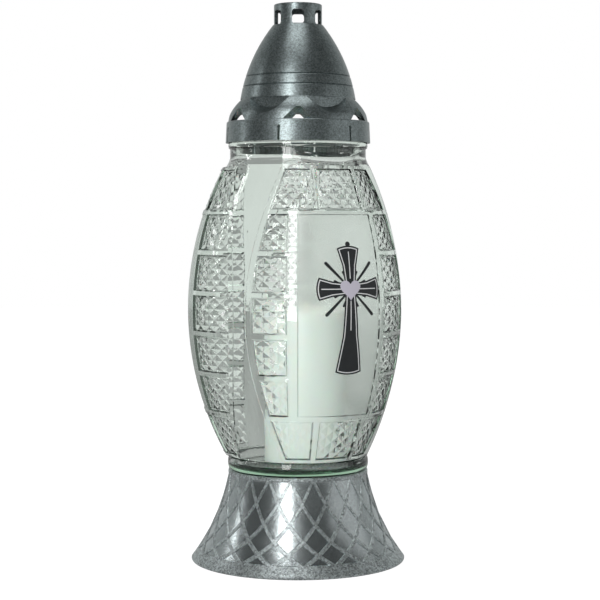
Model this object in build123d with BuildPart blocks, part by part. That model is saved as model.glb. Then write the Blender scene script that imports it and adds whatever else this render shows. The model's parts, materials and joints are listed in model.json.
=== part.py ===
"""Sanctuary lamp: a pressed-glass lantern on a flared foot, with a lift-off vented lid and a refill candle.

Frame: millimetres, +Z up, origin at the centre of the foot's underside, label side facing -Y.
"""
import os
from math import copysign, cos, hypot, radians, sin

from build123d import *

os.makedirs("parts", exist_ok=True)

# ---------------------------------------------------------------- driving dimensions
# foot
foot_height = 56.0
foot_bottom_radius = 65.7
foot_top_radius = 42.9
foot_bow = 3.2             # how far the flare bows in from a straight cone
foot_wall = 2.2
foot_rim_round = 1.6
collar_straight = 3.0      # plain upright edge at the top of the foot
platform_thickness = 2.4

# glass
glass_height = 216.3       # heel to rim
glass_wall = 4.0
glass_floor = 9.7
floor_corner = 2.5
heel_depth = 6.0           # how deep the heel stands in the foot
heel_radius = 39.6
base_bead_radius = 43.2
base_bead_height = 8.6
base_bead_gap = 0.4        # bead over the foot's top edge
base_bead_step = 0.5       # bead to the fields' lower edge
strip_radius_low = 43.0    # plain strips between the three fields
strip_radius_mid = 63.1
strip_radius_high = 44.2
field_radius_low = 44.8    # raised fields, at their centre lines
field_radius_mid = 67.7
field_radius_high = 46.1
field_offset = 10.0        # how far each field's own axis stands off the lamp's axis
field_count = 3
field_trim = 0.6           # share of the wall that the hollow's steps stay inside the fields' edges
belly_lift = 1.2           # the widest point lies this far above mid-height
shoulder_drop = 25.3       # rim down to the fields' top edge
neck_waist = 0.1           # the neck is this much slimmer than the rim
neck_bead_proud = 1.0      # the bead stands this far out from the rim
neck_bead_height = 4.0
neck_bead_round = 1.0
rim_radius = 41.6
rim_height = 10.3          # plain finish above the neck bead
neck_groove = 5.0
neck_wall = 3.6
rim_round = 1.4

# lid
band_height = 12.7
band_wall = 1.3
band_flare = 0.6           # the band is this much wider at its lower edge
band_chamfer = 0.5
rim_clearance = 0.7        # band to glass rim
lid_seat_gap = 0.3         # ledge over the rim, and band over the neck bead
ledge_width = 3.4
ledge_thickness = 2.0
arcade_height = 13.8
arcade_wall = 1.8
arcade_step = 1.0          # the arcade's foot stands this far in from the band
arcade_margin = 0.4        # the arcade's top stands this far out from the dome
arcade_bow = 1.4
flange_width = 8.0
flange_thickness = 1.5
vent_count = 6
vent_width = 18.0
vent_height = 7.4
vent_apex_width = 2.6
vent_angle = 3.0           # one vent's direction, in degrees from +X
pocket_half_width = 17.0
pocket_drop = 12.3         # the swag's lowest point below the eave
pocket_depth = 2.1         # swag's floor, in from the arcade's top
pocket_floor_half_width = 14.0
pocket_floor_drop = 6.4
pocket_mouth_reach = 4.0   # where the swag is drawn, outside the arcade's foot
slit_width = 1.4
slit_hole_radius = 1.1
slit_height = 8.0
slit_shift = -15.0         # degrees from a vent's centre
dome_height = 44.9
dome_eave_radius = 35.2
dome_top_radius = 15.4
dome_bow = 3.1
dome_wall = 1.8
dome_top_thickness = 2.0
dome_top_thinning = 0.9    # inner arc's start, in from the dome's top edge
dome_groove_depth = 0.45
dome_groove_width = 0.9
dome_grooves = (7.6, 13.7)  # above the eave
crown_height = 12.6
crown_radius = 14.6
crown_wall = 2.2
crown_roof = 1.6
crown_round = 0.8
window_count = 6
window_width = 7.4
window_height = 8.6
window_round = 1.8
spigot_radius = 12.8
spigot_wall = 1.5
spigot_depth = 4.4
spigot_overlap = 0.6
spigot_clearance = 0.1

# heat shield and its rivets
shield_thickness = 0.5
shield_rise = 9.0
shield_crown_radius = 12.0
shield_hole_radius = 7.0
shield_edge_gap = 0.4
shield_rim_width = 5.0
shield_vent_count = 6
shield_vent_radius = 2.5
rivet_count = 3
rivet_radius = 1.0
rivet_head_radius = 1.9
rivet_head_height = 0.8
rivet_clearance = 0.05
rivet_edge = 0.5           # rivet head to the flange's inner edge
rivet_shift = 0.0          # degrees from a vent's centre

# refill candle
candle_radius = 25.2
candle_height = 94.0
candle_shift = (4.1, -2.1)
candle_seat_gap = 0.3
cup_wall = 0.9
cup_floor = 1.2
wax_clearance = 0.05
wax_headspace = 2.8        # cup edge above the wax
wick_radius = 0.9
wick_stand = 8.0           # wick above the wax
sustainer_radius = 8.0
sustainer_thickness = 0.4

# glue and printed cross
glue_count = 3
glue_arc = 40.0
glue_height = 3.0
heel_gap = 0.9             # heel to the foot's collar
glue_clearance = 0.05
print_gap = 0.05
print_layer_gap = 0.02
print_reach = 20.0         # deeper than the field curves away under the cross
film_thickness = 0.15
film_margin = 0.9
cross_height = 75.0
cross_half_width = 21.0
cross_above_belly = 14.7   # arms' centre line above the widest point
cross_head = 25.0          # centre line up to the top of the head
arm_root = 3.4             # half width where the arms meet
arm_end = 6.75
head_end = 7.6
leg_end = 8.75
arm_bulge = 1.6
ray_length = 22.0
ray_width = 2.1
heart_size = 13.5

# ---------------------------------------------------------------- sizes that follow
platform_top = foot_height - heel_depth
rim_top = platform_top + glass_height
floor_top = platform_top + glass_floor
bead_bottom = foot_height + base_bead_gap
fields_bottom = bead_bottom + base_bead_height + base_bead_step
fields_top = rim_top - shoulder_drop
belly_height = (fields_bottom + fields_top) / 2 + belly_lift
neck_bead_top = rim_top - rim_height
neck_bead_bottom = neck_bead_top - neck_bead_height
neck_bottom = neck_bead_bottom - neck_groove

ledge_bottom = rim_top + lid_seat_gap
band_top = ledge_bottom + ledge_thickness
band_bottom = band_top - band_height
eave = band_top + arcade_height
dome_top = eave + dome_height
crown_top = dome_top + crown_height

neck_radius = rim_radius - neck_waist
neck_bead_radius = rim_radius + neck_bead_proud
band_bore = rim_radius + rim_clearance
band_radius = band_bore + band_wall
arcade_foot_radius = band_radius - arcade_step
arcade_top_radius = dome_eave_radius + arcade_margin
pocket_floor_radius = arcade_top_radius - pocket_depth
flange_bore = arcade_top_radius - flange_width
rivet_circle = flange_bore + rivet_head_radius + rivet_edge
shield_radius = dome_eave_radius - dome_wall - shield_edge_gap
candle_bottom = floor_top + candle_seat_gap
candle_top = candle_bottom + candle_height
wax_top = candle_top - wax_headspace
cross_centre = belly_height + cross_above_belly

field_angles = [-90 + i * 360 / field_count for i in range(field_count)]
vent_angles = [vent_angle + i * 360 / vent_count for i in range(vent_count)]


def bowed(start, end, bow):
    """Middle point of an arc from start to end that bows outwards (or inwards, if negative) by bow."""
    run, rise = end[0] - start[0], end[1] - start[1]
    length = hypot(run, rise)
    middle = ((start[0] + end[0]) / 2, (start[1] + end[1]) / 2)
    side = 1 if rise > 0 else -1
    return (middle[0] + side * bow * rise / length, middle[1] - side * bow * run / length)


def bowed_radius(start, end, bow, height):
    """Radius at a height of the bowed arc from start up to end."""
    middle = bowed(start, end, bow)
    length = hypot(end[0] - start[0], end[1] - start[1])
    arc = (length**2 / 4 + bow**2) / (2 * bow)
    normal = ((end[1] - start[1]) / length, (start[0] - end[0]) / length)
    centre = (middle[0] - arc * normal[0], middle[1] - arc * normal[1])
    return centre[0] + copysign((arc**2 - (height - centre[1]) ** 2) ** 0.5, bow)


def upright(angle, reach=0.0):
    """Upright plane square to the direction at angle, reach millimetres out from the axis."""
    direction = (cos(radians(angle)), sin(radians(angle)), 0)
    across = (-direction[1], direction[0], 0)
    return Plane(origin=tuple(reach * c for c in direction), x_dir=across, z_dir=direction)


def radial(angle, reach=0.0):
    """Upright plane through the axis, or an axis reach millimetres out, with its x running outwards."""
    direction = (cos(radians(angle)), sin(radians(angle)), 0)
    return Plane(
        origin=tuple(reach * c for c in direction),
        x_dir=direction,
        z_dir=(direction[1], -direction[0], 0),
    )


def field_axis(angle):
    """The upright axis that one raised field is turned about."""
    return Axis(radial(angle, field_offset).origin, (0, 0, 1))


# ---------------------------------------------------------------- glass
def add_fields(inset, mode):
    """The three raised fields, each turned about its own axis and cut flat top and bottom."""
    trim = inset * field_trim
    low = (field_radius_low - field_offset - inset, fields_bottom + trim)
    middle = (field_radius_mid - field_offset - inset, belly_height)
    high = (field_radius_high - field_offset - inset, fields_top - trim)
    for angle in field_angles:
        with BuildSketch(radial(angle, field_offset)) as field:
            with BuildLine():
                ThreePointArc(low, middle, high)
                Polyline(high, (0, high[1]), (0, low[1]), low)
            make_face()
        revolve(field.sketch, axis=field_axis(angle), mode=mode)


hollow_foot = (strip_radius_low - glass_wall, fields_bottom)
hollow_shoulder = (strip_radius_high - glass_wall, fields_top)
mouth_radius = rim_radius - neck_wall

with BuildPart() as glass_body:
    with BuildSketch(Plane.XZ):
        with BuildLine():
            Polyline(
                (0, platform_top),
                (heel_radius, platform_top),
                (heel_radius, bead_bottom),
                (base_bead_radius, bead_bottom),
                (base_bead_radius, bead_bottom + base_bead_height),
                (strip_radius_low, fields_bottom),
            )
            ThreePointArc(
                (strip_radius_low, fields_bottom),
                (strip_radius_mid, belly_height),
                (strip_radius_high, fields_top),
            )
            Polyline(
                (strip_radius_high, fields_top),
                (neck_radius, neck_bottom),
                (neck_radius, neck_bead_bottom),
                (neck_bead_radius, neck_bead_bottom + neck_bead_round),
                (neck_bead_radius, neck_bead_top - neck_bead_round),
                (rim_radius, neck_bead_top),
                (rim_radius, rim_top),
                (0, rim_top),
                (0, platform_top),
            )
        make_face()
    revolve(axis=Axis.Z)
    add_fields(0, Mode.ADD)
    with BuildSketch(Plane.XZ):
        with BuildLine():
            ThreePointArc(hollow_foot, (strip_radius_mid - glass_wall, belly_height), hollow_shoulder)
            Polyline(
                hollow_shoulder,
                (mouth_radius, neck_bottom),
                (mouth_radius, rim_top),
                (0, rim_top),
                (0, floor_top),
                (hollow_foot[0] - floor_corner, floor_top),
                hollow_foot,
            )
        make_face()
    revolve(axis=Axis.Z, mode=Mode.SUBTRACT)
    add_fields(glass_wall, Mode.SUBTRACT)
    rim_edges = glass_body.edges().filter_by(GeomType.CIRCLE).group_by(Axis.Z)[-1]
    fillet(rim_edges, min(rim_round, 0.45 * neck_wall))
glass_body.part.label = "glass_body"
export_step(glass_body.part, "parts/glass_body.step")

# ---------------------------------------------------------------- foot
collar_bore = heel_radius + heel_gap
platform_bottom = platform_top - platform_thickness

outer_low = (foot_bottom_radius, foot_rim_round)
outer_high = (foot_top_radius, foot_height - collar_straight)
inner_low = (foot_bottom_radius - foot_rim_round - foot_wall, 0)
skirt_at_platform = bowed_radius(outer_low, outer_high, -foot_bow, platform_bottom)
inner_high = (skirt_at_platform - foot_wall, platform_bottom)

with BuildPart() as foot_skirt:
    with BuildSketch(Plane.XZ):
        with BuildLine():
            ThreePointArc(outer_low, bowed(outer_low, outer_high, -foot_bow), outer_high)
            Polyline(
                outer_high,
                (foot_top_radius, foot_height),
                (collar_bore, foot_height),
                (collar_bore, platform_top),
                (0, platform_top),
                (0, platform_bottom),
                inner_high,
            )
            ThreePointArc(inner_high, bowed(inner_high, inner_low, -foot_bow), inner_low)
            Line(inner_low, (foot_bottom_radius - foot_rim_round, 0))
            RadiusArc((foot_bottom_radius - foot_rim_round, 0), outer_low, -foot_rim_round)
        make_face()
    revolve(axis=Axis.Z)
foot_skirt.part.label = "foot_skirt"
export_step(foot_skirt.part, "parts/foot_skirt.step")

with BuildPart() as glue_dabs:
    for i in range(glue_count):
        with BuildSketch(radial(i * 360 / glue_count - glue_arc / 2)):
            with Locations(((heel_radius + collar_bore) / 2, platform_top + glue_height / 2)):
                Rectangle(heel_gap - 2 * glue_clearance, glue_height)
        revolve(axis=Axis.Z, revolution_arc=glue_arc)
glue_dabs.part.label = "glue_dabs"
export_step(glue_dabs.part, "parts/glue_dabs.step")

# ---------------------------------------------------------------- lid: band and arcade
arcade_low = (arcade_foot_radius, band_top)
arcade_high = (arcade_top_radius, eave)
hollow_low = (arcade_foot_radius - arcade_wall, band_top)
hollow_high = (arcade_top_radius - arcade_wall, eave - flange_thickness)


def pocket(angle, grow):
    """A swag-shaped recess between two vents, or with grow the wall around it."""
    mouth_reach = arcade_foot_radius + pocket_mouth_reach
    floor_reach = pocket_floor_radius - grow
    swags = (
        (floor_reach, pocket_floor_half_width + grow, pocket_floor_drop + grow),
        (mouth_reach, pocket_half_width + grow, pocket_drop + grow),
    )
    with BuildPart() as recess:
        for reach, half_width, drop in swags:
            with BuildSketch(upright(angle, reach)):
                with BuildLine():
                    ThreePointArc((-half_width, eave), (0, eave - drop), (half_width, eave))
                    Line((half_width, eave), (-half_width, eave))
                make_face()
        loft()
    return recess.part


pocket_angles = [angle + 180 / vent_count for angle in vent_angles]

with BuildPart() as lid_hollow:
    with BuildSketch(Plane.XZ):
        with BuildLine():
            Polyline((0, eave - flange_thickness), (0, band_top), hollow_low)
            ThreePointArc(hollow_low, bowed(hollow_low, hollow_high, arcade_bow), hollow_high)
            Line(hollow_high, (0, eave - flange_thickness))
        make_face()
    revolve(axis=Axis.Z)
    for angle in pocket_angles:
        add(pocket(angle, arcade_wall), mode=Mode.SUBTRACT)

with BuildPart() as vent_ring:
    with BuildSketch(Plane.XZ):
        with BuildLine():
            Polyline(
                (0, band_bottom),
                (band_radius + band_flare, band_bottom),
                (band_radius, band_top - band_chamfer),
                (band_radius - band_chamfer, band_top),
                arcade_low,
            )
            ThreePointArc(arcade_low, bowed(arcade_low, arcade_high, arcade_bow), arcade_high)
            Polyline(arcade_high, (0, eave), (0, band_bottom))
        make_face()
    revolve(axis=Axis.Z)
    add(lid_hollow.part, mode=Mode.SUBTRACT)
    bores = (
        (band_bore, band_bottom, ledge_bottom),
        (band_bore - ledge_width, ledge_bottom, band_top),
        (flange_bore, eave - flange_thickness, eave),
    )
    for bore_radius, low, high in bores:
        with BuildSketch(Plane.XY.offset(low)):
            Circle(bore_radius)
        extrude(amount=high - low, mode=Mode.SUBTRACT)
    for angle in pocket_angles:
        add(pocket(angle, 0), mode=Mode.SUBTRACT)
    for angle in vent_angles:
        with BuildSketch(upright(angle, flange_bore)):
            with BuildLine():
                Polyline(
                    (-vent_width / 2, band_top),
                    (vent_width / 2, band_top),
                    (vent_apex_width / 2, band_top + vent_height),
                    (-vent_apex_width / 2, band_top + vent_height),
                    close=True,
                )
            make_face()
        extrude(amount=2 * arcade_top_radius, mode=Mode.SUBTRACT)
        with BuildSketch(upright(angle + slit_shift, band_bore - rim_clearance / 2)):
            with Locations((0, band_bottom + slit_height / 2)):
                Rectangle(slit_width, slit_height)
            with Locations((0, band_bottom + slit_height)):
                Circle(slit_hole_radius)
        extrude(amount=2 * (band_wall + band_flare), mode=Mode.SUBTRACT)
    with BuildSketch(Plane.XY.offset(eave)):
        with PolarLocations(rivet_circle, rivet_count, vent_angle + rivet_shift):
            Circle(rivet_radius + rivet_clearance)
    extrude(amount=-flange_thickness, mode=Mode.SUBTRACT)
vent_ring.part.label = "vent_ring"
export_step(vent_ring.part, "parts/vent_ring.step")

# ---------------------------------------------------------------- lid: dome
dome_low = (dome_eave_radius, eave)
dome_high = (dome_top_radius, dome_top)
dome_inner_low = (dome_eave_radius - dome_wall, eave)
dome_inner_high = (dome_top_radius - dome_top_thinning, dome_top - dome_top_thickness)
dome_hole = spigot_radius + spigot_clearance

with BuildPart() as dome_cap:
    with BuildSketch(Plane.XZ):
        with BuildLine():
            ThreePointArc(dome_low, bowed(dome_low, dome_high, dome_bow), dome_high)
            Polyline(dome_high, (dome_hole, dome_top), (dome_hole, dome_inner_high[1]), dome_inner_high)
            ThreePointArc(
                dome_inner_high,
                bowed(dome_inner_high, dome_inner_low, dome_bow),
                dome_inner_low,
            )
            Line(dome_inner_low, dome_low)
        make_face()
    revolve(axis=Axis.Z)
    with BuildSketch(Plane.XZ):
        for height in dome_grooves:
            level = eave + height
            surface = bowed_radius(dome_low, dome_high, dome_bow, level)
            with BuildLine():
                Polyline(
                    (surface + dome_groove_depth, level + dome_groove_width),
                    (surface - dome_groove_depth, level),
                    (surface + dome_groove_depth, level - dome_groove_width),
                    close=True,
                )
            make_face()
    revolve(axis=Axis.Z, mode=Mode.SUBTRACT)
dome_cap.part.label = "dome_cap"
export_step(dome_cap.part, "parts/dome_cap.step")

# ---------------------------------------------------------------- lid: crown
spigot_bore = spigot_radius - spigot_wall
crown_bore = crown_radius - crown_wall

with BuildPart() as chimney_crown:
    with BuildSketch(Plane.XZ):
        with BuildLine():
            Polyline(
                (0, crown_top),
                (crown_radius, crown_top),
                (crown_radius, dome_top),
                (spigot_radius, dome_top),
                (spigot_radius, dome_top - spigot_depth),
                (spigot_bore, dome_top - spigot_depth),
                (spigot_bore, dome_top + spigot_overlap),
                (crown_bore, dome_top + spigot_overlap),
                (crown_bore, crown_top - crown_roof),
                (0, crown_top - crown_roof),
                close=True,
            )
        make_face()
    revolve(axis=Axis.Z)
    roof_edge = chimney_crown.edges().filter_by(GeomType.CIRCLE).group_by(Axis.Z)[-1]
    fillet(roof_edge, min(crown_round, 0.45 * crown_roof))
    for i in range(window_count):
        with BuildSketch(upright(vent_angle + i * 360 / window_count, spigot_bore)):
            with Locations((0, dome_top + window_height / 2)):
                window = Rectangle(window_width, window_height)
            fillet(window.vertices().group_by(Axis.Z)[-1], window_round)
        extrude(amount=crown_radius, mode=Mode.SUBTRACT)
chimney_crown.part.label = "chimney_crown"
export_step(chimney_crown.part, "parts/chimney_crown.step")

# ---------------------------------------------------------------- lid: heat shield and rivets
shield_base = eave + shield_thickness
shield_peak = eave + shield_rise

with BuildPart() as heat_shield:
    with BuildSketch(Plane.XZ):
        with BuildLine():
            Polyline(
                (shield_radius, eave),
                (shield_radius, shield_base),
                (shield_radius - shield_rim_width, shield_base),
                (shield_crown_radius, shield_peak + shield_thickness),
                (shield_hole_radius, shield_peak + shield_thickness),
                (shield_hole_radius, shield_peak),
                (shield_crown_radius, shield_peak),
                (shield_radius - shield_rim_width, eave),
                close=True,
            )
        make_face()
    revolve(axis=Axis.Z)
    with BuildSketch(Plane.XY.offset(eave)):
        with PolarLocations((shield_crown_radius + shield_radius - shield_rim_width) / 2, shield_vent_count):
            Circle(shield_vent_radius)
        with PolarLocations(rivet_circle, rivet_count, vent_angle + rivet_shift):
            Circle(rivet_radius + rivet_clearance)
    extrude(amount=shield_rise + 2 * shield_thickness, mode=Mode.SUBTRACT)
heat_shield.part.label = "heat_shield"
export_step(heat_shield.part, "parts/heat_shield.step")

with BuildPart() as shield_rivets:
    rivet_spans = (
        (rivet_radius, eave - flange_thickness, shield_base),
        (rivet_head_radius, shield_base, shield_base + rivet_head_height),
        (rivet_head_radius, eave - flange_thickness - rivet_head_height, eave - flange_thickness),
    )
    for radius, low, high in rivet_spans:
        with BuildSketch(Plane.XY.offset(low)):
            with PolarLocations(rivet_circle, rivet_count, vent_angle + rivet_shift):
                Circle(radius)
        extrude(amount=high - low)
shield_rivets.part.label = "shield_rivets"
export_step(shield_rivets.part, "parts/shield_rivets.step")

# ---------------------------------------------------------------- refill candle
wax_radius = candle_radius - cup_wall - wax_clearance
cup_floor_top = candle_bottom + cup_floor
sustainer_top = cup_floor_top + sustainer_thickness


def candle_disc(radius, low, high, mode=Mode.ADD):
    """A plain round slug on the candle's axis."""
    with BuildSketch(Plane.XY.offset(low)) as disc:
        with Locations(candle_shift):
            Circle(radius)
    extrude(disc.sketch, amount=high - low, mode=mode)


with BuildPart() as candle_cup:
    candle_disc(candle_radius, candle_bottom, candle_top)
    candle_disc(candle_radius - cup_wall, cup_floor_top, candle_top, Mode.SUBTRACT)
candle_cup.part.label = "candle_cup"
export_step(candle_cup.part, "parts/candle_cup.step")

with BuildPart() as candle_wax:
    candle_disc(wax_radius, cup_floor_top, wax_top)
    candle_disc(sustainer_radius + wax_clearance, cup_floor_top, sustainer_top, Mode.SUBTRACT)
    candle_disc(wick_radius + wax_clearance, cup_floor_top, wax_top, Mode.SUBTRACT)
candle_wax.part.label = "candle_wax"
export_step(candle_wax.part, "parts/candle_wax.step")

with BuildPart() as wick_sustainer:
    candle_disc(sustainer_radius, cup_floor_top, sustainer_top)
wick_sustainer.part.label = "wick_sustainer"
export_step(wick_sustainer.part, "parts/wick_sustainer.step")

with BuildPart() as candle_wick:
    candle_disc(wick_radius, sustainer_top, wax_top + wick_stand)
candle_wick.part.label = "candle_wick"
export_step(candle_wick.part, "parts/candle_wick.step")

# ---------------------------------------------------------------- printed cross
front = field_angles[0]


def field_skin(low, high):
    """Thin sheet that follows the front field between two heights above its surface."""
    with BuildPart() as skin:
        with BuildSketch(radial(front, field_offset)):
            with BuildLine():
                for stand in (low, high):
                    ThreePointArc(
                        (field_radius_low - field_offset + stand, fields_bottom),
                        (field_radius_mid - field_offset + stand, belly_height),
                        (field_radius_high - field_offset + stand, fields_top),
                    )
                for level, edge in ((fields_bottom, field_radius_low), (fields_top, field_radius_high)):
                    reach = edge - field_offset
                    Line((reach + low, level), (reach + high, level))
            make_face()
        revolve(axis=field_axis(front), revolution_arc=360)
    return skin.part


arm_outlines = (  # root half width, end half width, end reach, direction in degrees
    (arm_root, arm_end, cross_half_width, 0),
    (arm_root, head_end, cross_head, 90),
    (arm_root, arm_end, cross_half_width, 180),
    (arm_root, leg_end, cross_height - cross_head, 270),
)
print_plane = upright(front, field_radius_mid + 1)
print_plane.origin += Vector(0, 0, cross_centre)

with BuildSketch(print_plane) as cross_shape:
    Rectangle(2 * arm_root, 2 * arm_root)
    for root, end, reach, turn in arm_outlines:
        with BuildLine(Plane.XY.rotated((0, 0, turn))):
            Polyline((reach, end), (root, root), (root, -root), (reach, -end))
            ThreePointArc((reach, -end), (reach - arm_bulge, 0), (reach, end))
        make_face()
    Rectangle(2 * ray_length, ray_width, rotation=45)
    Rectangle(2 * ray_length, ray_width, rotation=-45)

with BuildSketch(print_plane) as film_shape:
    add(cross_shape.sketch_local)
    offset(amount=film_margin)

with BuildSketch(print_plane) as heart_shape:
    size = heart_size
    with BuildLine():
        ThreePointArc((0, 0.28 * size), (0.27 * size, 0.45 * size), (0.5 * size, 0.15 * size))
        ThreePointArc((0.5 * size, 0.15 * size), (0.34 * size, -0.2 * size), (0, -0.5 * size))
        mirror(about=Plane.YZ)
    make_face()


def printed(shape, low):
    """One printed layer: a shape wrapped on the front field, low millimetres above the glass."""
    with BuildPart() as layer:
        extrude(shape.sketch, amount=-print_reach)
        add(field_skin(low, low + film_thickness), mode=Mode.INTERSECT)
    return layer.part


layer_step = film_thickness + print_layer_gap

with BuildPart() as decal_film:
    add(printed(film_shape, print_gap))
decal_film.part.label = "decal_film"
export_step(decal_film.part, "parts/decal_film.step")

with BuildPart() as cross_decal:
    add(printed(cross_shape, print_gap + layer_step))
cross_decal.part.label = "cross_decal"
export_step(cross_decal.part, "parts/cross_decal.step")

with BuildPart() as heart_decal:
    add(printed(heart_shape, print_gap + 2 * layer_step))
heart_decal.part.label = "heart_decal"
export_step(heart_decal.part, "parts/heart_decal.step")
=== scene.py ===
"""Sanctuary lamp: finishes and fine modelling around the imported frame. Metres, +Z up."""
import json
import math

import bmesh
import bpy
from bpy.props import FloatProperty, FloatVectorProperty, IntProperty, PointerProperty
from mathutils import Matrix, Vector

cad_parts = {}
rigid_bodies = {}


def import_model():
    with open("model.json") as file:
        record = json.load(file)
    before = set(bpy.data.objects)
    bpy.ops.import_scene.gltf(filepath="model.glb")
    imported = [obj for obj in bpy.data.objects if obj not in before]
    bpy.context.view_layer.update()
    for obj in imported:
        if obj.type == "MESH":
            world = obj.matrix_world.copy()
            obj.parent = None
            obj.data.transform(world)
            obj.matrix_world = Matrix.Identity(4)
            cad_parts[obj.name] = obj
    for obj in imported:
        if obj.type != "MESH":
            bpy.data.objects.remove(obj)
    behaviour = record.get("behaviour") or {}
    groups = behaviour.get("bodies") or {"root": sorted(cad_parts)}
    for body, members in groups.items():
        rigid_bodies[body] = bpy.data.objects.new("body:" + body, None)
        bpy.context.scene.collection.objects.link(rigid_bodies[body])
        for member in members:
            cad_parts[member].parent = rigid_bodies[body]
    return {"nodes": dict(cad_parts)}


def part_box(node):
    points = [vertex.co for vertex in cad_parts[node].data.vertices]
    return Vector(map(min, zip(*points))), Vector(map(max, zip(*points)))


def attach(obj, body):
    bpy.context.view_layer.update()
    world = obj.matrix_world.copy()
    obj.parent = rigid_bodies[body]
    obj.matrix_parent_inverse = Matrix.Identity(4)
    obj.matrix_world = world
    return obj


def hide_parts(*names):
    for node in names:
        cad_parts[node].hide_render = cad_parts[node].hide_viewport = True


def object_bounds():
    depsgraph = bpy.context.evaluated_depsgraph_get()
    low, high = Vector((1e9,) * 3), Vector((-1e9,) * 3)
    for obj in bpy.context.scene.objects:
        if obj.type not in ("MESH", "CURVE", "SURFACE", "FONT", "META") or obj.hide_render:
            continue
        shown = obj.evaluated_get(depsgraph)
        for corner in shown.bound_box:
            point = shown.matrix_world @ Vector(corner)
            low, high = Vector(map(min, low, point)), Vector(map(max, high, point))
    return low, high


for thing in list(bpy.data.objects):
    bpy.data.objects.remove(thing, do_unlink=True)
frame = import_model()
NODES = frame["nodes"]
CAD_LOW, CAD_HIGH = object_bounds()
GLASS_LOW, GLASS_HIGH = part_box("glass_body")
FOOT_LOW, FOOT_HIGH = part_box("foot_skirt")
CUP_LOW, CUP_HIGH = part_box("candle_cup")
WAX_LOW, WAX_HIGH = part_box("candle_wax")
WICK_LOW, WICK_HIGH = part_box("candle_wick")
MM = 0.001
MERGE = 0.005 * MM         # points nearer than this are one point
FLAT = 0.001               # a flat sheet's metres for each degree of turn
FIELD_TURN = math.radians(-90)
FIELD_COUNT = 3
TURN_STEP = 3 * FLAT       # upright cuts that let a flat sheet bend

bl_info = {
    "name": "Sanctuary Lamp Finish",
    "version": (1, 0, 0),
    "blender": (4, 5, 0),
    "location": "View3D > Sidebar > Lamp",
    "description": "Models the lamp's glass, foot, candle and print, and gives every piece its finish",
    "category": "Object",
}


# ---------------------------------------------------------------- sizes and colours
def length(name, description, value):
    """A size in millimetres as a property in metres."""
    return FloatProperty(name=name, description=description, default=value * MM, unit="LENGTH")


def angle(name, description, value):
    """An angle in degrees as a property."""
    return FloatProperty(name=name, description=description, default=math.radians(value), subtype="ANGLE")


def colour(name, description, value):
    """A colour property."""
    return FloatVectorProperty(name=name, description=description, default=value, size=3, subtype="COLOR",
                               min=0, max=1)


class GlassSizes(bpy.types.PropertyGroup):
    """The pressed-glass body: section radii, relief and wall."""

    strip_low: length("Strip low", "Radius of the plain strips at the fields' lower edge", 43.0)
    strip_mid: length("Strip mid", "Radius of the plain strips at the widest height", 63.1)
    strip_high: length("Strip high", "Radius of the plain strips at the fields' upper edge", 44.2)
    field_low: length("Field low", "Reach of a field's centre line at its lower edge", 44.8)
    field_mid: length("Field mid", "Reach of a field's centre line at the widest height", 67.7)
    field_high: length("Field high", "Reach of a field's centre line at its upper edge", 46.1)
    field_offset: length("Field offset", "How far a field's own axis stands off the lamp's", 10.0)
    fields_bottom: length("Fields bottom", "Height of the fields' lower edge", 65.5)
    fields_top: length("Fields top", "Height of the fields' upper edge", 241.0)
    belly: length("Belly", "Height of the widest point", 154.45)
    heel_radius: length("Heel radius", "Radius of the heel that stands in the foot", 39.6)
    bead_radius: length("Bead radius", "Radius of the round bead over the foot", 43.2)
    bead_round: length("Bead round", "How far the bead bulges", 1.5)
    bead_bottom: length("Bead bottom", "Height of the bead's lower edge", 56.4)
    bead_top: length("Bead top", "Height of the bead's upper edge", 65.0)
    neck_radius: length("Neck radius", "Radius of the neck", 41.5)
    neck_bottom: length("Neck bottom", "Height of the neck's lower end", 247.0)
    ring_bottom: length("Ring bottom", "Height of the neck bead's lower edge", 252.0)
    ring_top: length("Ring top", "Height of the neck bead's upper edge", 256.0)
    ring_round: length("Ring round", "How far the neck bead stands out", 1.1)
    rim_radius: length("Rim radius", "Radius of the plain finish under the lid", 41.6)
    bore: length("Bore", "Radius of the mouth", 38.0)
    wall: length("Wall", "Thickness of the glass", 4.0)
    floor: length("Floor", "Height of the glass floor's upper side", 59.7)
    corner: length("Corner", "Rounding between wall and floor", 2.5)
    outline_end: angle("Outline end", "Half-width of a field at its upper and lower edge", 39.0)
    outline_mid: angle("Outline mid", "Half-width of a field at its middle", 56.0)
    end_row: length("End row", "Height of the top and bottom rows, to the rib's middle", 27.2)
    middle_rows: IntProperty(name="Middle rows", description="Rows between the top and bottom rows",
                             default=5)
    rib: length("Rib", "Width of the level ribs between the rows", 2.6)
    border: length("Border", "Width of the rim along a field's outline", 3.0)
    edge_rise: length("Edge rise", "How far a field's rim stands over the plain strip", 0.4)
    recess: length("Recess", "Depth of the blocks below the ribs", 1.3)
    panel_recess: length("Panel recess", "Depth of the plain panel below the ribs", 0.55)
    panel_left: angle("Panel left", "Left edge of the plain panel", -27.5)
    panel_right: angle("Panel right", "Right edge of the plain panel", 18.5)
    left_rib: angle("Left rib", "Width of the rib left of the plain panel", 4.9)
    right_rib: angle("Right rib", "Width of the rib right of the plain panel", 4.1)
    end_rib: angle("End rib", "Direction of the upright ribs in the end rows", 16.0)
    end_rib_width: angle("End rib width", "Width of the upright ribs in the end rows", 3.5)
    diamond_width: length("Diamond width", "Width of one pressed diamond", 8.4)
    diamond_height: length("Diamond height", "Height of one pressed diamond", 6.8)
    diamond_rise: length("Diamond rise", "How far a diamond's point stands up", 0.75)
    satin: FloatProperty(name="Satin", description="Roughness of the plain panels' skin", default=0.22)
    tint: colour("Tint", "Colour that the glass gives to light through it", (0.957, 0.974, 0.962))
    depth_tint: colour("Depth tint", "Colour that thick glass turns light to", (0.42, 0.70, 0.50))
    depth_strength: FloatProperty(name="Depth strength", default=20.0,
                                  description="How fast thick glass colours light, per metre")


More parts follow.
